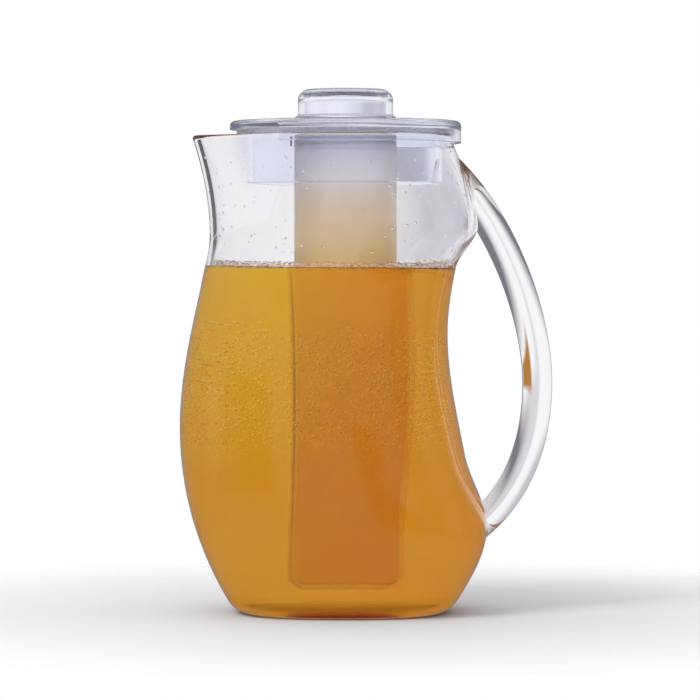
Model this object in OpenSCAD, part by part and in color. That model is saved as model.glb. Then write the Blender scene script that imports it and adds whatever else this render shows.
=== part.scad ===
// Pitcher with an ice core: a clear jug with a pouring lip, a bonded bar handle, a drop-in lid with
// a hollow knob, and a tube for ice that screws on to the lid and hangs in the drink.
// The origin is the centre of the base, below the lid's axis. +X points to the handle and +Z up.

/* [Jug] */
// Height of the rim above the table
jug_h = 252; // [240:1:290]
// Outer radius of the round mouth
mouth_r = 57; // [50:0.5:62]
// Wall thickness
wall = 4; // [3:0.1:5]
// Floor thickness
floor_t = 5; // [3.5:0.1:7]
// Height of the straight band below the rim
rim_band = 4.5; // [4.3:0.1:8]
// Corner radius under the base
base_round = 6; // [4:0.1:9]
// Corner radius inside, around the floor
floor_round = 8; // [5:0.1:12]
// How far the wall leans out for each unit of height as it leaves the base
base_flare = 0.64; // [0.3:0.01:0.9]
// Reach of the base towards the spout, before its corner is rounded
base_spout = 58.5; // [54:0.1:63]
// Reach of the base towards the handle, before its corner is rounded
base_handle = 55.5; // [51:0.1:60]
// Half the base's depth, before its corner is rounded
base_depth = 51; // [47:0.1:56]

/* [Belly and waist] */
// Height of the widest part on the spout side
belly_z = 98; // [85:1:110]
// Reach of the belly towards the spout
belly_spout = 87.7; // [80:0.1:96]
// Half the belly's depth
belly_depth = 65; // [60:0.1:72]
// Squareness of the belly's section: 2 is an ellipse
belly_square = 2.4; // [2:0.05:3]
// Height of the widest part on the handle side
hip_z = 45; // [38:1:52]
// Reach of the hip towards the handle
hip_handle = 75; // [68:0.1:80]
// Height where the hip has drawn halfway in to the waist
bend_z = 83; // [72:1:95]
// Reach towards the handle at that height
bend_handle = 63.3; // [60:0.1:66]
// Height of the waist on the handle side
waist_z = 147; // [135:1:155]
// Reach of the waist towards the handle
waist_handle = 54.1; // [48:0.1:56]

/* [Neck and spout] */
// Drop from the rim to where the belly starts to draw in to the neck on the spout side
taper_drop = 80; // [74:1:90]
// Reach towards the spout at that height
taper_spout = 76.6; // [74:0.1:78]
// Drop from the rim to the neck's narrowest height
neck_drop = 53; // [46:1:62]
// Reach of the neck below the spout
neck_spout = 71.9; // [68:0.1:73.5]
// Reach of the neck's round part on the spout side, without the spout
neck_round = 65; // [62:0.1:68]
// Half the neck's depth
neck_depth = 57.6; // [55:0.1:60]
// Reach of the pouring lip
spout_reach = 81.4; // [76:0.1:88]
// How far the spout leans out for each unit of height at the rim
spout_flare = 0.34; // [0.1:0.01:0.5]
// Half the angle that the spout takes of the mouth
spout_half_angle = 58; // [45:1:70]
// Drop from the rim to the ridge that carries the handle's root
ridge_drop = 47.5; // [42:0.5:54]
// Reach of that ridge
ridge_handle = 70.2; // [67:0.1:74]
// Drop from the ridge to where the wall turns down to the waist
armpit_drop = 22.5; // [18:0.5:27]
// Reach towards the handle at that height
armpit_handle = 58.4; // [57:0.1:62]
// How far the wall leans in for each unit of height where it meets the straight band
neck_lean = 0.4; // [0.1:0.01:0.6]

/* [Handle] */
// Room for fingers between the waist and the handle
finger_gap = 39.6; // [34:0.1:50]
// Height of the handle's outermost point
handle_z = 121; // [112:1:132]
// Thickness of the bar at its root
handle_t_root = 16.6; // [14:0.1:19]
// Thickness of the bar at its foot
handle_t_foot = 15.2; // [12:0.1:17]
// Width of the bar across the jug
handle_w = 19; // [15:0.1:24]
// Drop from the rim to where the bar's line starts inside the mouth
root_drop = 14; // [10:0.5:18]
// Depth of that start inside the mouth's outer radius
root_depth = 7; // [4:0.5:10]
// Slope of the bar below level as it leaves the root, in degrees
root_angle = 40; // [34:1:48]
// Length over which the bar keeps its direction at its root, and above its outermost point
root_sweep = 39; // [34:0.5:44]
// Height of the end of the bar's line inside the hip
foot_z = 41.5; // [37:0.5:46]
// Depth of that end inside the hip
foot_depth = 9.5; // [8:0.5:12]
// Slope of the bar below level as it reaches its foot, in degrees
foot_angle = 36; // [30:1:42]
// Length over which the bar keeps its direction at its foot, and below its outermost point
foot_sweep = 32; // [28:0.5:36]

/* [Lid] */
// Clearance between the lid's lip and the rim
lip_clear = 1.6; // [0.6:0.1:2.5]
// Thickness of the lip
lip_t = 2.6; // [1.5:0.1:4]
// How far the lip reaches below the plate
lip_h = 7.2; // [3:0.1:7.5]
// Half the angle over the spout where the lip is cut away
lip_cut_half_angle = 56; // [48:1:75]
// Thickness of the plate
plate_t = 4.5; // [3:0.1:6]
// Fillet around the plate's top edge
plate_round = 2.6; // [1:0.1:2.8]
// Clearance between the skirt and the mouth
skirt_clear = 2; // [0.8:0.1:3]
// Thickness of the skirt
skirt_t = 3.5; // [2:0.1:5]
// How far the skirt reaches below the plate
skirt_h = 28.7; // [15:0.1:35]
// Thickness of the ring between plate and rim
lid_seal_t = 2.7; // [2:0.1:4]
// Gap between that ring and the rim's crown
seat_gap = 0.3; // [0.2:0.05:0.5]
// Clearance between that ring and the skirt
seal_clear = 0.2; // [0.1:0.05:0.5]
// How far that ring reaches past the mouth's outer radius
seal_reach = 0.6; // [0:0.1:1]

/* [Knob] */
// Outer radius of the knob
knob_r = 25.2; // [20:0.1:30]
// Height of the knob above the plate
knob_h = 16.9; // [12:0.1:24]
// Fillet around the knob's top
knob_round = 6; // [4.5:0.1:8]
// Side wall of the knob
knob_wall = 3.6; // [2.5:0.1:4.4]
// Top wall of the knob
knob_top_t = 4.9; // [3:0.1:6]
// Height of the foot around the knob
knob_foot_h = 2.7; // [1.5:0.1:4]
// How far the foot stands out from the knob
knob_foot_w = 1.4; // [0.6:0.1:3]

/* [Ice core] */
// Outer radius of the core
core_r = 27; // [22:0.1:32]
// Wall of the core
core_wall = 2.6; // [2:0.1:4]
// Bottom corner radius of the core
core_round = 8; // [5:0.1:12]
// Clear height between the core and the jug's floor
core_lift = 12; // [9:0.5:30]
// Thickness of the ring between the core's mouth and the plate
core_seal_t = 1.6; // [1:0.1:2.5]
// Clearance between that ring and the spigot's thread
core_seal_clear = 0.8; // [0.4:0.1:1]

/* [Thread] */
// Rise of the thread in one turn
thread_pitch = 2.4; // [2.2:0.1:3]
// Height of a thread ridge
thread_depth = 1; // [0.7:0.05:1.2]
// Width of a ridge at its foot
thread_foot = 1.2; // [0.9:0.05:1.3]
// Width of a ridge at its crest
thread_crest = 0.6; // [0.4:0.05:0.8]
// Clearance between a crest and the wall that it faces
thread_clear = 0.4; // [0.3:0.05:0.6]
// Turns of thread on the lid's spigot
spigot_turns = 3; // [2:0.25:3]
// Turns of thread in the core's mouth
core_turns = 2.25; // [1.5:0.25:2.25]
// Wall of the spigot
spigot_wall = 3; // [2:0.1:4]
// How far the spigot reaches below the plate
spigot_h = 11.5; // [11.5:0.1:16]

/* [Hidden] */

clear_tint = [0.86, 0.9, 0.93, 0.4];
lid_tint = [0.74, 0.78, 0.9, 0.5];
frost_tint = [0.86, 0.84, 0.82, 0.8];
seal_tint = [0.93, 0.93, 0.93, 0.7];

// Heights and radii that follow from the sizes above
rim_r = wall / 2;
band_z = jug_h - rim_band;
taper_z = jug_h - taper_drop;
neck_z = jug_h - neck_drop;
ridge_z = jug_h - ridge_drop;
armpit_z = ridge_z - armpit_drop;
plate_z = jug_h + seat_gap + lid_seal_t;
plate_top = plate_z + plate_t;
lip_in_r = mouth_r + lip_clear;
lip_out_r = lip_in_r + lip_t;
skirt_out_r = mouth_r - wall - skirt_clear;
skirt_in_r = skirt_out_r - skirt_t;
core_top = plate_z - core_seal_t;
core_bottom = floor_t + core_lift;
core_in_r = core_r - core_wall;
spigot_r = core_in_r - thread_depth - thread_clear;
spigot_bottom = plate_z - spigot_h;

// Counts that set how fine the curved walls are
segments = 48;
wall_rings = 30;
corner_steps = 4;
rim_steps = 6;
bar_segments = 20;
bar_rings = 14;
turn_steps = 36;
lathe_fn = 96;

// How deep a thread ridge is rooted in its wall, and how far a cutting shape runs past a face
ridge_root = 0.4;
past = 1;

// Outlines of the jug as [height, reach] points: spout side, the same without the spout,
// handle side, half depth, and squareness of the section
spout_line = [
    [0, base_spout],
    [belly_z, belly_spout],
    [taper_z, taper_spout],
    [neck_z, neck_spout],
    [jug_h, spout_reach]
];
round_line = [
    [0, base_spout],
    [belly_z, belly_spout],
    [taper_z, taper_spout],
    [neck_z, neck_round],
    [band_z, mouth_r]
];
handle_line = [
    [0, base_handle],
    [hip_z, hip_handle],
    [bend_z, bend_handle],
    [waist_z, waist_handle],
    [armpit_z, armpit_handle],
    [ridge_z, ridge_handle],
    [band_z, mouth_r]
];
depth_line = [
    [0, base_depth],
    [belly_z, belly_depth],
    [neck_z, neck_depth],
    [band_z, mouth_r]
];
square_line = [
    [0, belly_square],
    [belly_z, belly_square],
    [band_z, 2]
];

// Smooth curve through the points of an outline, upright wherever the outline turns back, with a
// given lean at its first and last points. The first lean is held to what doesn't overshoot.
function rise(p, i) = (p[i + 1][1] - p[i][1]) / (p[i + 1][0] - p[i][0]);
function lean(p, i, first, last) =
    i == 0 ? min(first, 3 * rise(p, 0))
    : i == len(p) - 1 ? last
    : rise(p, i - 1) * rise(p, i) <= 0 ? 0
    : 2 * rise(p, i - 1) * rise(p, i) / (rise(p, i - 1) + rise(p, i));
function span_at(p, z, i = 0) = i == len(p) - 2 || z <= p[i + 1][0] ? i : span_at(p, z, i + 1);
function curve(p, z, first = 0, last = 0) =
    let (
        i = span_at(p, z),
        h = p[i + 1][0] - p[i][0],
        u = (z - p[i][0]) / h,
        v = 1 - u
    )
    p[i][1] * (1 + 2 * u) * v * v
    + p[i + 1][1] * (3 - 2 * u) * u * u
    + h * u * v * (lean(p, i, first, last) * v - lean(p, i + 1, first, last) * u);

// One point of the jug's section at a height, set in from the outer face, at an angle from +X
function signed_power(v, e) = sign(v) * pow(abs(v), e);
function spout_share(t) =
    abs(t - 180) < spout_half_angle
    ? pow((1 + cos(180 * (t - 180) / spout_half_angle)) / 2, 2)
    : 0;
function section_point(z, inset, t) =
    let (
        low = min(z, band_z),
        spout_side = curve(round_line, low, base_flare),
        handle_side = curve(handle_line, low, base_flare, -neck_lean),
        half_depth = curve(depth_line, low, base_flare),
        e = 2 / curve(square_line, low),
        lobe = max(0, curve(spout_line, z, base_flare, spout_flare) - spout_side)
    )
    [
        (handle_side - spout_side) / 2
        + ((handle_side + spout_side) / 2 - inset) * signed_power(cos(t), e)
        - lobe * spout_share(t),
        (half_depth - inset) * signed_power(sin(t), e),
        z
    ];

// Skin over rings of n points each, closed at both ends
module skin(rings) {
    n = len(rings[0]);
    last = len(rings) - 1;
    sides = [
        for (r = [0:last - 1], c = [0:n - 1])
        let (
            a = r * n + c,
            b = r * n + (c + 1) % n
        )
        each [[a, a + n, b + n], [a, b + n, b]]
    ];
    first_cap = [for (c = [0:n - 1]) c];
    last_cap = [for (c = [0:n - 1]) last * n + n - 1 - c];
    polyhedron([for (ring = rings) each ring], concat(sides, [first_cap, last_cap]), convexity = 8);
}

// Heights of the rings up the wall, which the jug and the handle's bond faces share
function wall_heights() = [
    for (i = [0:wall_rings])
    base_round + (jug_h - rim_r - base_round) * i / wall_rings
];

// Stations [height, inset] from the base up the outside, over the rim and down the inside
function jug_stations() = concat(
    [for (i = [0:corner_steps - 1])
        let (q = 90 * i / corner_steps)
        [base_round * (1 - cos(q)), base_round * (1 - sin(q))]],
    [for (z = wall_heights()) [z, 0]],
    [for (i = [1:rim_steps])
        let (q = 180 * i / rim_steps)
        [jug_h - rim_r + rim_r * sin(q), rim_r * (1 - cos(q))]],
    [for (i = [1:wall_rings])
        let (low = floor_t + floor_round)
        [low + (jug_h - rim_r - low) * (1 - i / wall_rings), wall]],
    [for (i = [1:corner_steps])
        let (q = 90 * i / corner_steps)
        [floor_t + floor_round * (1 - sin(q)), wall + floor_round * (1 - cos(q))]]
);

// The wall's handle side as a solid block, to end the handle on the jug's own faces
module handle_side_block() {
    reach = floor(segments / 8);
    back_x = waist_handle / 2;
    skin([
        for (z = wall_heights())
        let (
            arc = [for (i = [-reach:reach]) section_point(z, 0, (360 + 360 * i / segments) % 360)],
            half = arc[2 * reach][1]
        )
        concat(arc, [[back_x, half, z], [back_x, -half, z]])
    ]);
}

// The bar's line: two curves that meet at its outermost point
handle_x = waist_handle + finger_gap + (handle_t_root + handle_t_foot) / 4;
bar_root = [mouth_r - root_depth, jug_h - root_drop];
bar_peak = [handle_x, handle_z];
bar_foot = [hip_handle - foot_depth, foot_z];
upper_line = [
    bar_root,
    bar_root + root_sweep * [cos(root_angle), -sin(root_angle)],
    bar_peak + root_sweep * [0, 1],
    bar_peak
];
lower_line = [
    bar_peak,
    bar_peak - foot_sweep * [0, 1],
    bar_foot + foot_sweep * [cos(foot_angle), sin(foot_angle)],
    bar_foot
];
function bezier(p, u) =
    let (v = 1 - u)
    p[0] * v * v * v + 3 * p[1] * u * v * v + 3 * p[2] * u * u * v + p[3] * u * u * u;
function bezier_way(p, u) =
    let (
        v = 1 - u,
        d = (p[1] - p[0]) * v * v + 2 * (p[2] - p[1]) * u * v + (p[3] - p[2]) * u * u
    )
    d / norm(d);
function bar_ring(p, u, share) =
    let (
        at = bezier(p, u),
        way = bezier_way(p, u),
        half_t = (handle_t_root + (handle_t_foot - handle_t_root) * share) / 2
    )
    [
        for (i = [0:bar_segments - 1])
        let (
            q = 360 * i / bar_segments,
            out = half_t * cos(q)
        )
        [at[0] + way[1] * out, handle_w / 2 * sin(q), at[1] - way[0] * out]
    ];

// One helical thread ridge: radius and width at its inner and outer edges
module thread_ridge(r_in, w_in, r_out, w_out, z, turns) {
    skin([
        for (i = [0:round(turns * turn_steps)])
        let (
            q = 360 * i / turn_steps,
            mid = z + thread_pitch * i / turn_steps
        )
        [
            [r_in * cos(q), r_in * sin(q), mid - w_in / 2],
            [r_in * cos(q), r_in * sin(q), mid + w_in / 2],
            [r_out * cos(q), r_out * sin(q), mid + w_out / 2],
            [r_out * cos(q), r_out * sin(q), mid - w_out / 2]
        ]
    ]);
}

// A ring with square edges
module ring(r_in, r_out, z, h) {
    translate([0, 0, z])
        difference() {
            cylinder(r = r_out, h = h, $fn = lathe_fn);
            translate([0, 0, -past])
                cylinder(r = r_in, h = h + 2 * past, $fn = lathe_fn);
        }
}

// A cylinder with a rounded top edge
module rounded_disc(r, z, h, round_r) {
    translate([0, 0, z])
        rotate_extrude($fn = lathe_fn) {
            square([r, h - round_r]);
            square([r - round_r, h]);
            translate([r - round_r, h - round_r])
                intersection() {
                    circle(r = round_r, $fn = lathe_fn);
                    square(round_r);
                }
        }
}

module jug_body() {
    color(clear_tint)
        skin([
            for (s = jug_stations())
            [for (i = [0:segments - 1]) section_point(s[0], s[1], 360 * i / segments)]
        ]);
}

module handle() {
    color(clear_tint)
        difference() {
            skin(concat(
                [for (i = [0:bar_rings]) bar_ring(upper_line, i / bar_rings, i / bar_rings / 2)],
                [for (i = [1:bar_rings]) bar_ring(lower_line, i / bar_rings, (1 + i / bar_rings) / 2)]
            ));
            handle_side_block();
        }
}

module lid() {
    color(lid_tint) {
        difference() {
            union() {
                rounded_disc(lip_out_r, plate_z, plate_t, plate_round);
                ring(lip_in_r, lip_out_r, plate_z - lip_h, lip_h);
            }
            rotate([0, 0, 180 - lip_cut_half_angle])
                rotate_extrude(angle = 2 * lip_cut_half_angle, $fn = lathe_fn)
                    translate([lip_in_r - lip_clear / 2, plate_z - lip_h - past])
                        square([lip_t + lip_clear, lip_h + past]);
        }
        ring(skirt_in_r, skirt_out_r, plate_z - skirt_h, skirt_h);
        ring(spigot_r - spigot_wall, spigot_r, spigot_bottom, spigot_h);
        thread_ridge(spigot_r - ridge_root, thread_foot, spigot_r + thread_depth, thread_crest,
            spigot_bottom + thread_pitch / 2, spigot_turns);
    }
}

module lid_knob() {
    color(lid_tint)
        difference() {
            union() {
                rounded_disc(knob_r, plate_top, knob_h, knob_round);
                ring(knob_r / 2, knob_r + knob_foot_w, plate_top, knob_foot_h);
            }
            translate([0, 0, -past])
                rounded_disc(knob_r - knob_wall, plate_top, knob_h - knob_top_t + past,
                    knob_round - knob_wall);
        }
}

module lid_seal() {
    color(seal_tint)
        ring(skirt_out_r + seal_clear, mouth_r + seal_reach, jug_h + seat_gap, lid_seal_t);
}

module ice_core() {
    color(frost_tint) {
        difference() {
            mirror([0, 0, 1])
                rounded_disc(core_r, -core_top, core_top - core_bottom, core_round);
            mirror([0, 0, 1])
                translate([0, 0, -past])
                    rounded_disc(core_in_r, -core_top, core_top - core_bottom - core_wall + past,
                        core_round - core_wall);
        }
        thread_ridge(core_in_r - thread_depth, thread_crest, core_in_r + ridge_root, thread_foot,
            spigot_bottom + thread_pitch, core_turns);
    }
}

module core_seal() {
    color(seal_tint)
        ring(spigot_r + thread_depth + core_seal_clear, core_r, core_top, core_seal_t);
}

jug_body();
handle();
lid();
lid_knob();
lid_seal();
ice_core();
core_seal();
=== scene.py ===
import math

import bmesh
import bpy
import numpy as np
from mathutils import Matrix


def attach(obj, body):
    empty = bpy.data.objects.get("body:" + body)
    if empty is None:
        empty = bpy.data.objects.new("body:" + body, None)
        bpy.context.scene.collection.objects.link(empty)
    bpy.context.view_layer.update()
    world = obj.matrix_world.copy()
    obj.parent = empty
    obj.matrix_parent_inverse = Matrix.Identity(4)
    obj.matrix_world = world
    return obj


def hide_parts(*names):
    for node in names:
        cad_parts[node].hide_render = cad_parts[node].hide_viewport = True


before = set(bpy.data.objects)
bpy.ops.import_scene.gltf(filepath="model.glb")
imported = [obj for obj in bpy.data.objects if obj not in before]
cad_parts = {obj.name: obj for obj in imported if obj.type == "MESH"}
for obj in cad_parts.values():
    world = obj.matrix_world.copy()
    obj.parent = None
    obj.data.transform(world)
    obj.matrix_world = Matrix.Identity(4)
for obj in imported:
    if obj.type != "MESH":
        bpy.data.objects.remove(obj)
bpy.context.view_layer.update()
scene = bpy.context.scene
rng = np.random.default_rng(11)

# Sizes in millimetres and angles in degrees, as in the part's source
MM = 0.001

# Jug
JUG_H = 252
MOUTH_R = 57
WALL = 4
RIM_R = WALL / 2
RIM_BAND = 4.5
BAND_Z = JUG_H - RIM_BAND
FLOOR_T = 5
FLOOR_ROUND = 8
BASE_ROUND = 6
BASE_FLARE = 0.64
SPOUT_FLARE = 0.34
SPOUT_HALF_ANGLE = 58
NECK_LEAN = 0.4

# Outlines of the jug, as (height, reach) points: under the spout with and without the spout's lobe,
# under the handle, and half the depth. The last gives the power of the section's rounded square
SPOUT_LINE = [(0, 58.5), (98, 87.7), (172, 76.6), (199, 71.9), (JUG_H, 81.4)]
ROUND_LINE = SPOUT_LINE[:3] + [(199, 65), (BAND_Z, MOUTH_R)]
HANDLE_LINE = [
    (0, 55.5), (45, 75), (83, 63.3), (147, 54.1), (182, 58.4), (204.5, 70.2), (BAND_Z, MOUTH_R),
]
DEPTH_LINE = [(0, 51), (98, 65), (199, 57.6), (BAND_Z, MOUTH_R)]
SQUARE_LINE = [(0, 2.4), (98, 2.4), (BAND_Z, 2)]

# Pieces that are one clear mass in the hand lie this far in each other, so that no air film shows
BOND = 0.12
HANDLE_SINK = BOND * 3

# Handle: (reach, height) of its root, its outermost point and its foot, and how it leaves them
BAR_ROOT = np.array([50, 238.0])
BAR_PEAK = np.array([101.65, 121.0])
BAR_FOOT = np.array([65.5, 41.5])
ROOT_SWEEP = 39
ROOT_ANGLE = 40
FOOT_SWEEP = 32
FOOT_ANGLE = 36
BAR_T_ROOT = 16.6
BAR_T_FOOT = 15.2
BAR_W = 19

# Stretches of the bar, from inside the jug outwards, in which its root and its foot leave the wall
ROOT_STRETCH = (0, 0.8)
FOOT_STRETCH = (2, 1.2)

# Lid
PLATE_Z = 255
PLATE_T = 4.5
PLATE_TOP = PLATE_Z + PLATE_T
PLATE_ROUND = 2.6
LIP_IN_R = 58.6
LIP_OUT_R = 61.2
LIP_H = 7.2
LIP_CUT = 56
SKIRT_OUT_R = 51
SKIRT_IN_R = 47.5
SKIRT_H = 28.7
SPIGOT_R = 23
SPIGOT_WALL = 3
SPIGOT_BOTTOM = 243.5
SEAL_IN_R = 51.2
SEAL_OUT_R = 57.6
SEAL_Z = 252.3
SEAL_SINK = 0.03

# Knob
KNOB_R = 25.2
KNOB_H = 16.9
KNOB_ROUND = 6
KNOB_WALL = 3.6
KNOB_TOP_T = 4.9
KNOB_FOOT_H = 2.7
KNOB_FOOT_W = 1.4

# Core
CORE_R = 27
CORE_WALL = 2.6
CORE_IN_R = CORE_R - CORE_WALL
CORE_ROUND = 8
CORE_TOP = 253.4
CORE_BOTTOM = 17
RING_IN_R = 24.8

# Thread of the spigot and the core
PITCH = 2.4
RIDGE_DEPTH = 1
RIDGE_FOOT = 1.2
RIDGE_CREST = 0.6
RIDGE_ROOT = 0.4
SPIGOT_TURNS = 3
CORE_TURNS = 2.25

# Contents: the drink's level, the beads of its foam and the drops in the neck. The middle of a bead
# stands off the wall by a share of its radius
DRINK_Z = 181.8
FOAM_COUNT = 2000
FOAM_Z = (DRINK_Z - 0.2, DRINK_Z + 3.0)
FOAM_R = (0.35, 0.75)
FOAM_OFF = 1.02
DROPLET_COUNT = 150
DROPLET_Z = (DRINK_Z + 6, 243)
DROPLET_R = (0.3, 0.9)
DROPLET_OFF = 0.1

# Faces round a jug section, a turned piece and one turn of a thread, and how fine a bead is
SEGMENTS = 192
LATHE = 256
RIDGE_STEPS = 96
BEAD_LEVEL = 2

# Steps round the lid where it has its lip and where the lip is cut away
LIP_STEPS = 180
CUT_STEPS = 90

# The most of a line's length that one fillet may take up
FILLET_SHARE = 0.49

# Angles between faces past which an edge shows
CREASE = 40
SMOOTH_CREASE = 60

# Distances in metres under which points are merged and slivers are taken out
MERGE = 2e-6
SLIVER = 1e-7


# Shapes
def rise(line, i):
    """Slope of an outline between two of its points."""
    return (line[i + 1][1] - line[i][1]) / (line[i + 1][0] - line[i][0])


def lean(line, i, first, last):
    """Slope of the smooth curve at one of the outline's points, 0 where the outline turns back."""
    if i == 0:
        return min(first, 3 * rise(line, 0))
    if i == len(line) - 1:
        return last
    before, after = rise(line, i - 1), rise(line, i)
    return 0 if before * after <= 0 else 2 * before * after / (before + after)


def curve(line, z, first=0, last=0):
    """Reach at a height, on a smooth curve through an outline's points."""
    i = 0
    while i < len(line) - 2 and z > line[i + 1][0]:
        i += 1
    (low, low_reach), (high, high_reach) = line[i], line[i + 1]
    u = (z - low) / (high - low)
    v = 1 - u
    ends = low_reach * (1 + 2 * u) * v * v + high_reach * (3 - 2 * u) * u * u
    leans = lean(line, i, first, last) * v - lean(line, i + 1, first, last) * u
    return ends + (high - low) * u * v * leans


def reaches(z):
    """Reach of the jug under the spout and the handle at a height, its half depth and its power."""
    low = min(max(z, 0), BAND_Z)
    return (
        curve(ROUND_LINE, low, BASE_FLARE),
        curve(HANDLE_LINE, low, BASE_FLARE, -NECK_LEAN),
        curve(DEPTH_LINE, low, BASE_FLARE),
        curve(SQUARE_LINE, low),
    )


def signed_power(values, power):
    return np.sign(values) * np.abs(values) ** power


def section(z, inset, angles):
    """Points of the jug's section at a height, set in from the outer face, at angles from +X."""
    angles = np.mod(np.asarray(angles, float), 360)
    spout_side, handle_side, half_depth, power = reaches(z)
    lobe = max(0, curve(SPOUT_LINE, z, BASE_FLARE, SPOUT_FLARE) - spout_side)
    off_spout = np.clip((angles - 180) / SPOUT_HALF_ANGLE, -1, 1)
    lobe_share = ((1 + np.cos(np.pi * off_spout)) / 2) ** 2
    along = signed_power(np.cos(np.radians(angles)), 2 / power)
    across = signed_power(np.sin(np.radians(angles)), 2 / power)
    half_length = (handle_side + spout_side) / 2
    x = (handle_side - spout_side) / 2 + (half_length - inset) * along - lobe * lobe_share
    y = (half_depth - inset) * across
    return np.stack([x, y, np.full_like(x, z)], -1)


def in_jug(point, inset):
    """Whether a point on the handle's side lies inside the face set in from the jug's outer face."""
    x, y, z = point
    spout_side, handle_side, half_depth, power = reaches(z)
    along = abs(x - (handle_side - spout_side) / 2) / ((handle_side + spout_side) / 2 - inset)
    across = abs(y) / (half_depth - inset)
    return along**power + across**power < 1


def steps(start, end, count):
    return [start + (end - start) * i / count for i in range(count + 1)]


def skin(rings):
    """Faces over rings of points, closed at both ends by a fan round the ring's middle."""
    around, count = len(rings[0]), len(rings)
    faces = []
    for ring in range(count - 1):
        base = ring * around
        for i in range(around):
            j = (i + 1) % around
            faces.append((base + i, base + j, base + around + j, base + around + i))
    first, last, base = count * around, count * around + 1, (count - 1) * around
    faces += [(first, (i + 1) % around, i) for i in range(around)]
    faces += [(last, base + i, base + (i + 1) % around) for i in range(around)]
    return np.concatenate([*rings, rings[0].mean(0)[None], rings[-1].mean(0)[None]]), faces


def rounded(corners, arc=6):
    """Line through (radius, height, fillet) corners, with an arc in each corner that has a fillet."""
    line = []
    for i, (x, y, fillet) in enumerate(corners):
        corner = np.array([x, y], float)
        if fillet == 0:
            line.append(corner)
            continue
        back = np.array(corners[i - 1][:2], float) - corner
        ahead = np.array(corners[(i + 1) % len(corners)][:2], float) - corner
        back_length, ahead_length = np.linalg.norm(back), np.linalg.norm(ahead)
        back, ahead = back / back_length, ahead / ahead_length
        half = math.acos(max(-1, min(1, back @ ahead))) / 2
        room = min(FILLET_SHARE * back_length, FILLET_SHARE * ahead_length)
        reach = min(fillet / math.tan(half), room)
        radius = reach * math.tan(half)
        centre = corner + (back + ahead) / np.linalg.norm(back + ahead) * radius / math.sin(half)
        start = (corner + back * reach - centre) / radius
        end = (corner + ahead * reach - centre) / radius
        turn = math.acos(max(-1, min(1, start @ end)))
        for share in steps(0, 1, arc):
            spoke = math.sin((1 - share) * turn) * start + math.sin(share * turn) * end
            line.append(centre + radius * spoke / math.sin(turn))
    return np.array(line)


def spin(profiles):
    """Faces over (angle, profile) pairs that go once round the axis."""
    rings = []
    for angle, profile in profiles:
        turn = math.radians(angle)
        radius, z = profile[:, 0], profile[:, 1]
        rings.append(np.stack([radius * math.cos(turn), radius * math.sin(turn), z], -1))
    length, count = len(rings[0]), len(rings)
    faces = []
    for ring in range(count):
        a, b = ring * length, (ring + 1) % count * length
        faces += [(a + i, b + i, b + i + 1, a + i + 1) for i in range(length - 1)]
    return np.concatenate(rings), faces


def lathe(profile, closed=False):
    if closed:
        profile = np.concatenate([profile, profile[:1]])
    return spin([(360 * i / LATHE, profile) for i in range(LATHE)])


def ridge(r_in, w_in, r_out, w_out, z, turns):
    """One helical thread ridge, with its radius and its width at its inner and outer edge."""
    edges = [(r_in, -w_in / 2), (r_in, w_in / 2), (r_out, w_out / 2), (r_out, -w_out / 2)]
    rings = []
    for i in range(round(turns * RIDGE_STEPS) + 1):
        turn, mid = 2 * math.pi * i / RIDGE_STEPS, z + PITCH * i / RIDGE_STEPS
        rings.append(np.array([[r * math.cos(turn), r * math.sin(turn), mid + up] for r, up in edges]))
    return skin(rings)


def beads(centres, radii):
    """Small balls at the given places."""
    bm = bmesh.new()
    bmesh.ops.create_icosphere(bm, subdivisions=BEAD_LEVEL, radius=1)
    ball = np.array([v.co for v in bm.verts])
    triangles = np.array([[v.index for v in f.verts] for f in bm.faces])
    bm.free()
    points = np.asarray(centres)[:, None] + np.asarray(radii)[:, None, None] * ball
    faces = np.arange(len(centres))[:, None, None] * len(ball) + triangles
    return points.reshape(-1, 3), [tuple(int(i) for i in face) for face in faces.reshape(-1, 3)]


def on_wall(count, heights, sizes, off):
    """Places and radii of beads strewn over the wall's inner face."""
    centres, radii = [], rng.uniform(*sizes, count)
    for radius in radii:
        z, angle = rng.uniform(*heights), rng.uniform(0, 360)
        centres.append(section(z, WALL + radius * off, [angle])[0])
    return centres, radii


def piece(name, shapes, material, body, node=None, crease=CREASE, even=True):
    """One object of the given shapes, which rides on a body and may stand for a node."""
    points, faces, start = [], [], 0
    for shape_points, shape_faces in shapes:
        points.append(np.asarray(shape_points, float) * MM)
        faces += [tuple(i + start for i in face) for face in shape_faces]
        start += len(shape_points)
    mesh = bpy.data.meshes.new(name)
    mesh.from_pydata(np.concatenate(points).tolist(), [], faces)
    bm = bmesh.new()
    bm.from_mesh(mesh)
    bmesh.ops.remove_doubles(bm, verts=bm.verts, dist=MERGE)
    bmesh.ops.dissolve_degenerate(bm, edges=bm.edges, dist=SLIVER)
    bmesh.ops.recalc_face_normals(bm, faces=bm.faces)
    bm.to_mesh(mesh)
    bm.free()
    mesh.shade_smooth()
    mesh.set_sharp_from_angle(angle=math.radians(crease))
    mesh.materials.append(material)
    o = bpy.data.objects.new(name, mesh)
    scene.collection.objects.link(o)
    if even:
        o.modifiers.new("even_shading", "WEIGHTED_NORMAL").keep_sharp = True
    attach(o, body)
    if node:
        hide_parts(node)


# Materials
BLACK = (0, 0, 0, 1)
WHITE = (1, 1, 1, 1)


def srgb(*levels):
    """Linear colour of three levels from 0 to 255."""
    shares = [level / 255 for level in levels]
    return (*(v / 12.92 if v <= 0.04045 else ((v + 0.055) / 1.055) ** 2.4 for v in shares), 1)


def feed(tree, socket, value):
    """Links a socket to another, or sets it to a constant."""
    if isinstance(value, bpy.types.NodeSocket):
        tree.links.new(value, socket)
    else:
        socket.default_value = value


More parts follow.
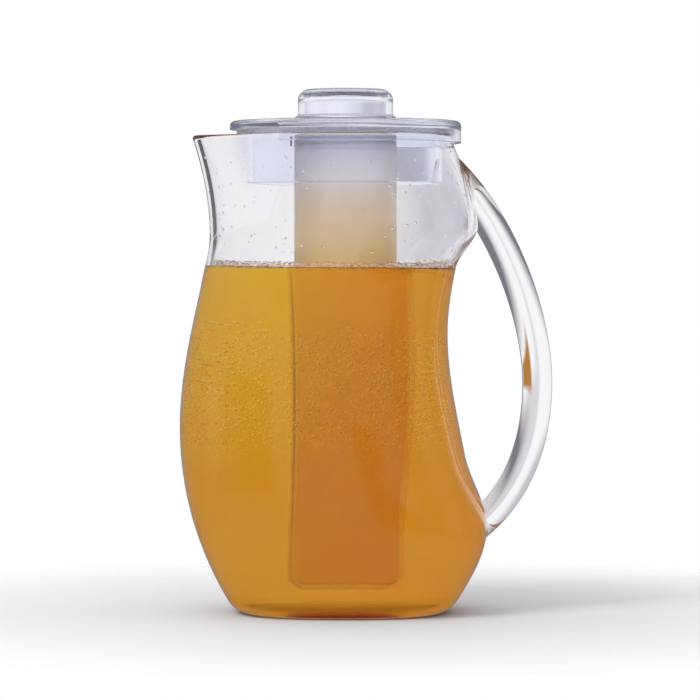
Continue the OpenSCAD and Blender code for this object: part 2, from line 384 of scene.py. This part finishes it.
class Looks:
    """A material's node tree, with the Principled shader's constant sockets set on the shader."""

    def __init__(self, name, **sockets):
        self.material = bpy.data.materials.new(name)
        self.material.use_nodes = True
        self.tree = self.material.node_tree
        self.shader = self.tree.nodes["Principled BSDF"]
        for key, value in sockets.items():
            self.shader.inputs[key.replace("_", " ")].default_value = value

    def add(self, kind, inputs=(), **values):
        """A new node, with its own values set and its inputs fed by name or by number."""
        node = self.tree.nodes.new(kind)
        for key, value in values.items():
            setattr(node, key, value)
        for key, value in dict(inputs).items():
            feed(self.tree, node.inputs[key], value)
        return node

    def link(self, a, b):
        self.tree.links.new(a, b)

    def result(self, name):
        """The socket that takes the finished surface or volume."""
        return self.tree.nodes["Material Output"].inputs[name]

    def place(self):
        return self.add("ShaderNodeTexCoord").outputs["Object"]

    def axis(self, name):
        return self.add("ShaderNodeSeparateXYZ", {0: self.place()}).outputs[name]

    def noise(self, scale, detail=3.0):
        values = {"Scale": scale, "Detail": detail, "Vector": self.place()}
        return self.add("ShaderNodeTexNoise", values).outputs["Fac"]

    def ramp(self, value, stops):
        node = self.add("ShaderNodeValToRGB", {"Fac": value})
        elements = node.color_ramp.elements
        while len(elements) < len(stops):
            elements.new(0.5)
        for element, (at, colour) in zip(elements, stops):
            element.position, element.color = at, colour
        return node.outputs["Color"]

    def spread(self, value, low, high, start=0.0, end=1.0):
        """A value from start to end, spread from low to high."""
        values = {"Value": value, "From Min": start, "From Max": end, "To Min": low, "To Max": high}
        return self.add("ShaderNodeMapRange", values).outputs["Result"]

    def uneven(self, scale, low, high):
        """A value that wanders from low to high over the surface."""
        return self.spread(self.noise(scale), low, high, 0.3, 0.7)

    def mix(self, amount, a, b, blend="MIX"):
        values = {0: amount, 6: a, 7: b}
        return self.add("ShaderNodeMix", values, data_type="RGBA", blend_type=blend).outputs[2]

    def facing(self, blend):
        return self.add("ShaderNodeLayerWeight", {"Blend": blend}).outputs["Facing"]

    def specks(self, scale, shift):
        """1 in small dots, one for each cell of the given scale, moved by the shift."""
        moved = self.add("ShaderNodeVectorMath", {0: self.place(), 1: shift}, operation="ADD")
        cells = self.add("ShaderNodeTexVoronoi", {"Scale": scale, "Vector": moved.outputs[0]})
        return self.ramp(cells.outputs["Distance"], [(0.18, WHITE), (0.27, BLACK)])

    def roughness(self, value):
        self.link(value, self.shader.inputs["Roughness"])

    def colour(self, value):
        self.link(value, self.shader.inputs["Base Color"])

    def waves(self, scale, strength, depth):
        values = {"Strength": strength, "Distance": depth, "Height": self.noise(scale, 2.0)}
        bump = self.add("ShaderNodeBump", values)
        self.link(bump.outputs["Normal"], self.shader.inputs["Normal"])


def clear_plastic(name, face_on, edge_shade, ior, tint=None):
    """Clear plastic or water, darker where a face is seen edge on: painted shade along its edges. A
    tint is the colour and density that deepen with its thickness.
    """
    m = Looks(name, Transmission_Weight=1.0, IOR=ior)
    # Painted edge shade: the colour darkens from the face-on colour to the edge colour as the face
    # turns away
    m.colour(m.ramp(m.facing(0.35), [(0.0, face_on), (0.55, face_on), (1.0, edge_shade)]))
    m.roughness(m.uneven(60, 0.004, 0.02))
    if tint:
        colour, density = tint
        depth = m.add("ShaderNodeVolumeAbsorption", {"Color": colour, "Density": density})
        m.link(depth.outputs[0], m.result("Volume"))
    return m.material


def frosted_plastic():
    """Frosted where it is dry, and clearer where the drink wets it, with a painted glow of the drink's
    light round the drink's level.
    """
    wet_ior, dry_ior = 1.03, 1.22
    m = Looks("frosted_plastic", Transmission_Weight=1.0, IOR=dry_ior)
    height = m.spread(m.axis("Z"), 0, 1, 0.0, 0.26)
    # Painted glow: peach low down, warmest just round the drink's level and fading to lilac white at
    # the top, for the drink's light from below
    tone = m.ramp(height, [
        (0.0, srgb(245, 229, 212)),
        (0.5, srgb(245, 230, 212)),
        (0.68, srgb(252, 238, 212)),
        (0.72, srgb(254, 237, 200)),
        (0.80, srgb(252, 238, 220)),
        (0.88, srgb(248, 246, 243)),
        (1.0, srgb(245, 246, 251)),
    ])
    grain = m.ramp(m.noise(45), [(0.35, srgb(190, 175, 150)), (0.65, srgb(240, 236, 228))])
    m.colour(m.mix(0.12, tone, grain, "SOFT_LIGHT"))
    dry = m.spread(height, 0, 1, 0.68, 0.71)
    m.link(m.spread(dry, wet_ior, dry_ior), m.shader.inputs["IOR"])
    m.roughness(m.mix(dry, m.uneven(220, 0.04, 0.1), m.uneven(220, 0.5, 0.62)))
    m.waves(scale=900, strength=0.2, depth=0.0002)
    return m.material


def soft_ring():
    m = Looks("soft_ring", Transmission_Weight=0.7, IOR=1.41)
    m.colour(m.ramp(m.noise(300), [(0.3, srgb(232, 230, 232)), (0.7, srgb(246, 245, 247))]))
    m.roughness(m.uneven(400, 0.25, 0.4))
    return m.material


def drink_looks():
    """Amber, lighter at the top on the spout's side as painted light, with a belt of fine bubbles on
    the wall, each painted as a dot with a painted highlight and a painted shade beside it.
    """
    m = Looks("drink", Transmission_Weight=0.9, IOR=1.333)
    across = m.spread(m.axis("X"), 0, 1, -0.085, 0.07)
    up = m.spread(m.axis("Z"), 0, 1, 0.02, 0.185)
    # Painted light: yellower and lighter at the top on the spout's side, a little darker on the
    # handle's side
    low = m.ramp(across, [
        (0.0, srgb(226, 158, 22)),
        (0.35, srgb(228, 158, 20)),
        (1.0, srgb(226, 148, 20)),
    ])
    high = m.ramp(across, [
        (0.0, srgb(240, 200, 80)),
        (0.4, srgb(236, 188, 24)),
        (0.75, srgb(228, 156, 18)),
        (1.0, srgb(226, 158, 20)),
    ])
    tone = m.mix(m.ramp(up, [(0.3, BLACK), (1.0, (0.8, 0.8, 0.8, 1))]), low, high)
    pulp = m.ramp(m.noise(70), [(0.35, srgb(150, 110, 60)), (0.65, srgb(240, 220, 180))])
    tone = m.mix(0.08, tone, pulp, "SOFT_LIGHT")

    belt = m.ramp(up, [(0.3, BLACK), (0.5, WHITE), (0.72, WHITE), (0.88, BLACK)])
    patches = m.ramp(m.noise(24, 4.0), [(0.3, BLACK), (0.46, WHITE)])
    fizz = m.mix(1.0, belt, patches, "MULTIPLY")
    # Each bubble is a painted highlight dot, with a painted shade dot shifted below it to the handle's
    # side
    bubble_cells, shade_shift = 430, (-0.0004, 0, 0.0004)
    shade = m.mix(1.0, fizz, m.specks(bubble_cells, shade_shift), "MULTIPLY")
    light = m.mix(1.0, fizz, m.specks(bubble_cells, (0, 0, 0)), "MULTIPLY")
    # The painted shade colour of the bubbles, then their painted highlight colour
    tone = m.mix(shade, tone, srgb(176, 110, 10))
    m.colour(m.mix(light, tone, srgb(252, 222, 116)))
    bubbles = m.mix(1.0, light, shade, "LIGHTEN")
    m.roughness(m.mix(bubbles, m.uneven(80, 0.03, 0.08), (0.4, 0.4, 0.4, 1)))
    return m.material


def foam_looks():
    m = Looks("foam", Transmission_Weight=1.0, IOR=1.13)
    m.colour(m.ramp(m.noise(900), [(0.35, srgb(255, 244, 234)), (0.65, srgb(255, 254, 252))]))
    m.roughness(m.uneven(600, 0.12, 0.3))
    return m.material


PLASTIC_IOR = 1.49
WATER_IOR = 1.33
LID_TINT = ((0.5, 0.56, 0.72, 1), 3.2)
CLEAR = clear_plastic("clear_plastic", srgb(250, 250, 252), srgb(214, 214, 226), PLASTIC_IOR)
LID = clear_plastic("lid_plastic", srgb(246, 247, 253), srgb(170, 175, 220), PLASTIC_IOR, LID_TINT)
DROPLET = clear_plastic("water", srgb(252, 252, 253), srgb(226, 226, 232), WATER_IOR)
FROSTED = frosted_plastic()
RING = soft_ring()
DRINK = drink_looks()
FOAM = foam_looks()


# The jug
def jug_stations(count=150, corner=12, rim=14):
    """(height, inset) from the base up the outside, over the rim and down the inside to the floor."""
    quarter = steps(0, math.pi / 2, corner)
    rim_z, floor_z = JUG_H - RIM_R, FLOOR_T + FLOOR_ROUND
    base = [(BASE_ROUND * (1 - math.cos(q)), BASE_ROUND * (1 - math.sin(q))) for q in quarter[:-1]]
    outside = [(z, 0) for z in steps(BASE_ROUND, rim_z, count)]
    half_turn = steps(0, math.pi, rim)[1:]
    over_rim = [(rim_z + RIM_R * math.sin(q), RIM_R * (1 - math.cos(q))) for q in half_turn]
    inside = [(z, WALL) for z in steps(rim_z, floor_z, count)[1:]]
    floor = [
        (FLOOR_T + FLOOR_ROUND * (1 - math.sin(q)), WALL + FLOOR_ROUND * (1 - math.cos(q)))
        for q in quarter[1:]
    ]
    return base + outside + over_rim + inside + floor


ALL_ROUND = [360 * i / SEGMENTS for i in range(SEGMENTS)]
piece(
    "jug_shell", [skin([section(z, inset, ALL_ROUND) for z, inset in jug_stations()])],
    CLEAR, "jug", "jug_body", SMOOTH_CREASE,
)


# The handle: lines along the bar, each ended where it meets the wall
def bar_point(s, angle):
    """Point of the bar's skin, s from 0 at the root over 1 at the peak to 2 at the foot."""
    if s <= 1:
        turn = math.radians(ROOT_ANGLE)
        leave = BAR_ROOT + ROOT_SWEEP * np.array([math.cos(turn), -math.sin(turn)])
        p = [BAR_ROOT, leave, BAR_PEAK + [0, ROOT_SWEEP], BAR_PEAK]
        u = s
    else:
        turn = math.radians(FOOT_ANGLE)
        arrive = BAR_FOOT + FOOT_SWEEP * np.array([math.cos(turn), math.sin(turn)])
        p = [BAR_PEAK, BAR_PEAK - [0, FOOT_SWEEP], arrive, BAR_FOOT]
        u = s - 1
    v = 1 - u
    at = p[0] * v**3 + 3 * p[1] * u * v * v + 3 * p[2] * u * u * v + p[3] * u**3
    way = (p[1] - p[0]) * v * v + 2 * (p[2] - p[1]) * u * v + (p[3] - p[2]) * u * u
    way = way / np.linalg.norm(way)
    half_t = (BAR_T_ROOT + (BAR_T_FOOT - BAR_T_ROOT) * s / 2) / 2
    out = half_t * math.cos(math.radians(angle))
    side = BAR_W / 2 * math.sin(math.radians(angle))
    return np.array([at[0] + way[1] * out, side, at[1] - way[0] * out])


def wall_crossing(angle, inner, outer, halvings=40):
    """Where a line of the bar leaves the jug, between a place inside the wall and one outside it."""
    for _ in range(halvings):
        mid = (inner + outer) / 2
        if in_jug(bar_point(mid, angle), HANDLE_SINK):
            inner = mid
        else:
            outer = mid
    return (inner + outer) / 2


def handle_shape(around=72, along=150):
    lines = []
    for i in range(around):
        angle = 360 * i / around
        root = wall_crossing(angle, *ROOT_STRETCH)
        foot = wall_crossing(angle, *FOOT_STRETCH)
        lines.append([bar_point(s, angle) for s in steps(root, foot, along)])
    return skin([np.array(ring) for ring in zip(*lines)])


piece("handle_bar", [handle_shape()], CLEAR, "jug", "handle")


# The lid, with its lip cut away over the spout
def lid_shape():
    lip_z, skirt_z = PLATE_Z - LIP_H, PLATE_Z - SKIRT_H
    spigot_in = SPIGOT_R - SPIGOT_WALL
    lipped = rounded([
        (0, PLATE_TOP, 0),
        (LIP_OUT_R, PLATE_TOP, PLATE_ROUND),
        (LIP_OUT_R, lip_z, 0.6),
        (LIP_IN_R, lip_z, 0.6),
        (LIP_IN_R, PLATE_Z, 0.5),
        (SKIRT_OUT_R, PLATE_Z, 0.6),
        (SKIRT_OUT_R, skirt_z, 0.9),
        (SKIRT_IN_R, skirt_z, 0.9),
        (SKIRT_IN_R, PLATE_Z, 0.8),
        (SPIGOT_R, PLATE_Z, 0.3),
        (SPIGOT_R, SPIGOT_BOTTOM, 0.4),
        (spigot_in, SPIGOT_BOTTOM, 0.4),
        (spigot_in, PLATE_Z, 0.8),
        (0, PLATE_Z, 0),
    ])
    bare = lipped.copy()
    lip = (bare[:, 0] > SEAL_OUT_R) & (bare[:, 1] < PLATE_Z)
    bare[lip, 1] = PLATE_Z
    cut_start, cut_end = 180 - LIP_CUT, 180 + LIP_CUT
    with_lip = [(angle, lipped) for angle in steps(cut_end, cut_start + 360, LIP_STEPS)]
    without = [(angle, bare) for angle in steps(cut_start, cut_end, CUT_STEPS)]
    return spin(with_lip + without)


spigot_thread = ridge(
    SPIGOT_R - RIDGE_ROOT, RIDGE_FOOT, SPIGOT_R + RIDGE_DEPTH, RIDGE_CREST,
    SPIGOT_BOTTOM + PITCH / 2, SPIGOT_TURNS,
)
piece("lid_plate", [lid_shape(), spigot_thread], LID, "lid", "lid")

foot_r, foot_top, foot_z = KNOB_R + KNOB_FOOT_W, PLATE_TOP + KNOB_FOOT_H, PLATE_TOP - BOND
hollow_r, hollow_top = KNOB_R - KNOB_WALL, PLATE_TOP + KNOB_H - KNOB_TOP_T
knob_profile = rounded([
    (0, PLATE_TOP + KNOB_H, 0),
    (KNOB_R, PLATE_TOP + KNOB_H, KNOB_ROUND),
    (KNOB_R, foot_top, 0.9),
    (foot_r, foot_top, 0.7),
    (foot_r, foot_z, 0),
    (hollow_r, foot_z, 0),
    (hollow_r, hollow_top, KNOB_ROUND - KNOB_WALL),
    (0, hollow_top, 0),
], arc=10)
piece("knob_cap", [lathe(knob_profile)], LID, "lid", "lid_knob")

lid_ring_profile = rounded([
    (SEAL_IN_R, SEAL_Z, 0.4),
    (SEAL_OUT_R, SEAL_Z, 0.4),
    (SEAL_OUT_R, PLATE_Z, 0.3),
    (SEAL_IN_R, PLATE_Z, 0.3),
], arc=4)
sunk_ring = lathe(lid_ring_profile - [0, SEAL_SINK], closed=True)
piece("lid_ring", [sunk_ring], RING, "lid", "lid_seal")

# The core and its ring
core_profile = rounded([
    (0, CORE_BOTTOM, 0),
    (CORE_R, CORE_BOTTOM, CORE_ROUND),
    (CORE_R, CORE_TOP, 0.3),
    (CORE_IN_R, CORE_TOP, 0.3),
    (CORE_IN_R, CORE_BOTTOM + CORE_WALL, CORE_ROUND - CORE_WALL),
    (0, CORE_BOTTOM + CORE_WALL, 0),
], arc=10)
core_thread = ridge(
    CORE_IN_R - RIDGE_DEPTH, RIDGE_CREST, CORE_IN_R + RIDGE_ROOT, RIDGE_FOOT,
    SPIGOT_BOTTOM + PITCH, CORE_TURNS,
)
piece("core_tube", [lathe(core_profile), core_thread], FROSTED, "core", "ice_core")

core_ring_profile = rounded([
    (RING_IN_R, CORE_TOP, 0.2),
    (CORE_R, CORE_TOP, 0.3),
    (CORE_R, PLATE_Z, 0.3),
    (RING_IN_R, PLATE_Z, 0.2),
], arc=4)
core_ring = lathe(core_ring_profile, closed=True)
piece("core_ring", [core_ring], RING, "core_ring", "core_seal")


# The drink up to its level, the foam round it and the drops in the neck
def drink_shape():
    """The drink, which climbs the wall a little at its edge."""
    out = WALL - BOND
    line = [
        (FLOOR_T - BOND + FLOOR_ROUND * (1 - math.cos(q)), out + FLOOR_ROUND * (1 - math.sin(q)))
        for q in steps(0, math.pi / 2, 12)
    ]
    line += [(z, out) for z in steps(FLOOR_T + FLOOR_ROUND, DRINK_Z + 0.6, 110)]
    climb = [(0.35, 0.3), (0.15, 0.8), (0, 2), (0, 12)]
    line += [(DRINK_Z + up, WALL + inset) for up, inset in climb]
    return skin([section(z, inset, ALL_ROUND) for z, inset in line])


piece("drink", [drink_shape()], DRINK, "jug", crease=SMOOTH_CREASE)
foam = on_wall(FOAM_COUNT, FOAM_Z, FOAM_R, FOAM_OFF)
piece("drink_foam", [beads(*foam)], FOAM, "jug", even=False)
droplets = on_wall(DROPLET_COUNT, DROPLET_Z, DROPLET_R, DROPLET_OFF)
piece("neck_droplets", [beads(*droplets)], DROPLET, "jug", even=False)

# Stage, in metres and degrees, with the camera's sensor in millimetres
FLOOR_R = 0.42
FLOOR_Z = -0.0003
FLOOR_CORNERS = 64
FADE_START = 0.12
FADE_END = 0.4
LAMP_SIZE = (0.7, 0.9)
LAMP_POWER = 12
LAMP_PLACE = (-0.95, -0.9, 1.25)
LAMP_TILT = 48
LAMP_TURN = -46
SENSOR_W = 36
VIEW_ANGLE = 10.81
CAMERA_PLACE = (0.0024, -1.96, 0.1874)
CAMERA_DROP = 1.43
LIGHT_BOUNCES = 40

# Grey that mirrored light sees, so that the white studio doesn't wash the drink's colour out
MIRRORED_FLOOR = (0.2, 0.2, 0.2, 1)
MIRRORED_STUDIO = (0.25, 0.25, 0.26, 1)

# Screens in the white surroundings, which only clear walls show: painted shade, painted dark lines and
# the drink's painted amber light in the clear walls. Each has the least and most faces that the light
# has met, the four places along X and along Z of the light's direction where it starts, is whole, is
# whole still and ends, and its colour
LEVEL = (-0.4, -0.15, 0.15, 0.4)
BELOW = (-0.4, -0.25, 0.015, 0.035)
SPOUT_SIDE = (-0.95, -0.85, -0.5, -0.38)
HANDLE_SIDE = (0.05, 0.38, 0.9, 0.98)
LILAC = (0.16, 0.16, 0.2, 1)
NAVY = (0.14, 0.15, 0.28, 1)
DARK = (0.04, 0.03, 0.035, 1)
SCREENS = [
    # Painted grey shade in the neck, and in the skirt and the dry core
    ((4, 4), (-0.01, 0.06, 0.28, 0.45), LEVEL, (0.64, 0.63, 0.66, 1)),
    ((8, 8), (-0.03, 0.02, 0.2, 0.35), LEVEL, (0.44, 0.43, 0.46, 1)),
    # A painted dark line in the wall under the spout, in two parts that leave the knob's wall clear
    ((3, 3), SPOUT_SIDE, (-0.4, -0.25, 0.0355, 0.0365), DARK),
    ((3, 3), SPOUT_SIDE, (0.0432, 0.0442, 0.14, 0.22), DARK),
    # Painted brown at the handle's root, for the drink's light in it
    ((3, 4), (0.2, 0.3, 0.7, 0.85), BELOW, (0.25, 0.11, 0.05, 1)),
    # Painted grey and lilac shade, and the drink's painted amber light, along the handle
    ((1, 2), (-0.12, 0.0, 0.4, 0.6), (-0.4, -0.25, -0.036, -0.014), (0.73, 0.715, 0.73, 1)),
    ((1, 2), (-0.98, -0.9, -0.34, -0.1), (-0.65, -0.5, -0.28, -0.13), LILAC),
    ((1, 2), (-0.98, -0.9, -0.4, -0.2), (0.04, 0.15, 0.5, 0.7), (0.6, 0.59, 0.63, 1)),
    ((1, 2), HANDLE_SIDE, (0.05, 0.18, 0.5, 0.7), LILAC),
    ((1, 2), HANDLE_SIDE, (-0.7, -0.5, -0.18, -0.05), LILAC),
    ((1, 2), (0.24, 0.32, 0.7, 0.8), (-0.05, -0.034, 0.025, 0.05), (0.43, 0.185, 0.015, 1)),
    # Painted navy shade in the outermost edges
    ((1, 4), (0.74, 0.84, 0.95, 0.99), LEVEL, NAVY),
    ((1, 4), (-0.99, -0.95, -0.84, -0.74), LEVEL, NAVY),
]


def arithmetic(tree, operation, *values, clamp=True):
    node = tree.nodes.new("ShaderNodeMath")
    node.operation, node.use_clamp = operation, clamp
    for socket, value in zip(node.inputs, values):
        feed(tree, socket, value)
    return node.outputs[0]


def mirrored_rays(tree):
    """1 for light that a glossy face mirrors."""
    path = tree.nodes.new("ShaderNodeLightPath").outputs
    return arithmetic(tree, "SUBTRACT", path["Is Glossy Ray"], path["Is Transmission Ray"])


def make_floor():
    """A pale round floor that keeps the shadow and fades out into the white surroundings."""
    m = Looks("floor", Roughness=0.6)
    m.colour(m.ramp(m.noise(3), [(0.3, (0.9, 0.9, 0.9, 1)), (0.7, (0.92, 0.92, 0.92, 1))]))
    away = m.add("ShaderNodeVectorMath", {0: m.place()}, operation="LENGTH").outputs["Value"]
    reach = {"Value": away, "From Min": FADE_START, "From Max": FADE_END}
    fade = m.add("ShaderNodeMapRange", reach, interpolation_type="SMOOTHSTEP")
    dim = m.add("ShaderNodeEmission", {"Color": MIRRORED_FLOOR})
    clear = m.add("ShaderNodeBsdfTransparent")
    shaders = {0: mirrored_rays(m.tree), 1: m.shader.outputs[0], 2: dim.outputs[0]}
    near = m.add("ShaderNodeMixShader", shaders)
    shaders = {0: fade.outputs["Result"], 1: near.outputs[0], 2: clear.outputs[0]}
    both = m.add("ShaderNodeMixShader", shaders)
    m.link(both.outputs[0], m.result("Surface"))
    mesh = bpy.data.meshes.new("floor")
    turns = [2 * math.pi * i / FLOOR_CORNERS for i in range(FLOOR_CORNERS)]
    corners = [(FLOOR_R * math.cos(turn), FLOOR_R * math.sin(turn), FLOOR_Z) for turn in turns]
    mesh.from_pydata(corners, [], [tuple(range(FLOOR_CORNERS))])
    mesh.materials.append(m.material)
    floor = bpy.data.objects.new("floor", mesh)
    scene.collection.objects.link(floor)


def make_world():
    """White all round, with the screens. The camera sees plain white."""
    world = bpy.data.worlds.new("studio")
    scene.world = world
    world.use_nodes = True
    tree = world.node_tree
    nodes, link = tree.nodes, tree.links.new
    split = nodes.new("ShaderNodeSeparateXYZ")
    link(nodes.new("ShaderNodeTexCoord").outputs["Generated"], split.inputs[0])
    path = nodes.new("ShaderNodeLightPath").outputs

    def slope(value, start, end):
        """0 up to the start and 1 from the end on."""
        node = nodes.new("ShaderNodeMapRange")
        node.inputs["From Min"].default_value = start
        node.inputs["From Max"].default_value = end
        link(value, node.inputs["Value"])
        return node.outputs["Result"]

    def band(value, start, whole, still, end):
        """1 between the middle places, falling to 0 at the outer ones."""
        return arithmetic(tree, "SUBTRACT", slope(value, start, whole), slope(value, still, end))

    def veil(amount, below, colour):
        """The colour laid over what is below it, by an amount from 0 to 1."""
        node = nodes.new("ShaderNodeMix")
        node.data_type = "RGBA"
        for index, value in ((0, amount), (6, below), (7, colour)):
            feed(tree, node.inputs[index], value)
        return node.outputs[2]

    faces_met = arithmetic(tree, "SUBTRACT", path["Ray Depth"], 1.0, clamp=False)
    seen = WHITE
    for (least, most), along_x, along_z, colour in SCREENS:
        enough = arithmetic(tree, "GREATER_THAN", faces_met, least - 0.5)
        few = arithmetic(tree, "LESS_THAN", faces_met, most + 0.5)
        amount = arithmetic(tree, "MULTIPLY", enough, few)
        for direction, places in (("X", along_x), ("Z", along_z)):
            share = band(split.outputs[direction], *places)
            amount = arithmetic(tree, "MULTIPLY", amount, share)
        seen = veil(amount, seen, colour)
    seen = veil(mirrored_rays(tree), seen, MIRRORED_STUDIO)
    seen = veil(path["Is Camera Ray"], seen, WHITE)
    link(seen, nodes["Background"].inputs["Color"])


def make_lamp():
    lamp = bpy.data.lights.new("softbox", "AREA")
    lamp.shape = "RECTANGLE"
    lamp.size, lamp.size_y = LAMP_SIZE
    lamp.energy = LAMP_POWER
    o = bpy.data.objects.new("softbox", lamp)
    o.location = LAMP_PLACE
    o.rotation_euler = (math.radians(LAMP_TILT), 0, math.radians(LAMP_TURN))
    o.visible_glossy = o.visible_transmission = False
    scene.collection.objects.link(o)


def make_camera():
    camera = bpy.data.cameras.new("camera")
    camera.sensor_width = SENSOR_W
    camera.lens = SENSOR_W / 2 / math.tan(math.radians(VIEW_ANGLE / 2))
    o = bpy.data.objects.new("camera", camera)
    o.location = CAMERA_PLACE
    o.rotation_euler = (math.radians(90 - CAMERA_DROP), 0, 0)
    scene.collection.objects.link(o)
    scene.camera = o


make_floor()
make_world()
make_lamp()
make_camera()
scene.view_settings.view_transform = "Standard"
scene.cycles.max_bounces = LIGHT_BOUNCES
scene.cycles.transmission_bounces = LIGHT_BOUNCES
scene.cycles.glossy_bounces = LIGHT_BOUNCES
